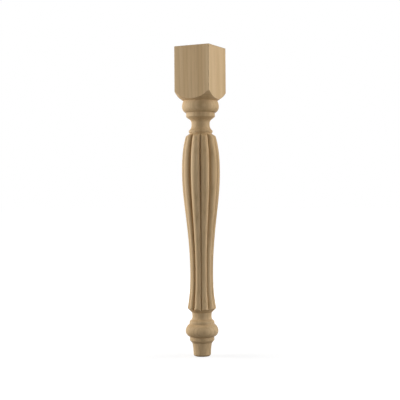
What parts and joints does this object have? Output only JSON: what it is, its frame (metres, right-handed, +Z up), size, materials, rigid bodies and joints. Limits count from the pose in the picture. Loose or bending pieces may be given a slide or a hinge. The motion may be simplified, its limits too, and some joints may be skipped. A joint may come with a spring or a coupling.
{
  "type": "turned table leg",
  "caption": "One-piece turned wooden table leg with a square block for rails at the top, a reeded vase body, turned beads and necks, and a tapered foot.",
  "frame": {"origin": "middle of the foot's flat underside, on the floor", "axes": "+Z up along the leg's turning axis, X and Y square to the faces of the block"},
  "size_m": [0.09, 0.09, 0.725],
  "materials": {
    "leg_wood": "sanded, unfinished pale hardwood"
  },
  "bodies": {
    "root": {"leg": "leg_wood"}
  },
  "joints": []
}
